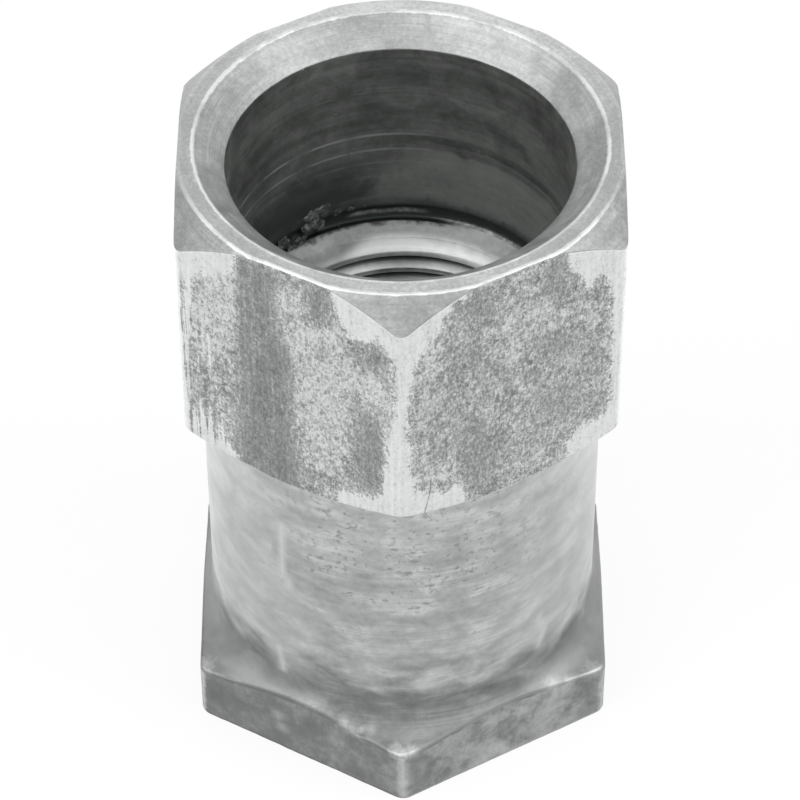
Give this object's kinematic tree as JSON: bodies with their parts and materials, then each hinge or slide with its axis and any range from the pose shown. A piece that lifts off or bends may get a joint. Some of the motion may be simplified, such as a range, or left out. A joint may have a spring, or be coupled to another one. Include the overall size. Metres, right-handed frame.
{
  "type": "clutch hub nut",
  "caption": "Tall hexagon nut turned from one bar: counterbored head for a shaft seal, round neck, thin hexagon clamping flange and a threaded through hole.",
  "frame": {"origin": "centre of the flat clamping face at the threaded end, on the bore's axis", "axes": "+Z along the bore from the clamping face towards the counterbored head; one hexagon corner points to -Y and two flats face +X and -X"},
  "size_m": [0.0302, 0.0344, 0.0487],
  "materials": {
    "steel": "dull grey steel, handled and worn bright at the edges, finely turned on the neck, face and bore"
  },
  "bodies": {
    "root": {"hub_nut": "steel"}
  },
  "joints": []
}
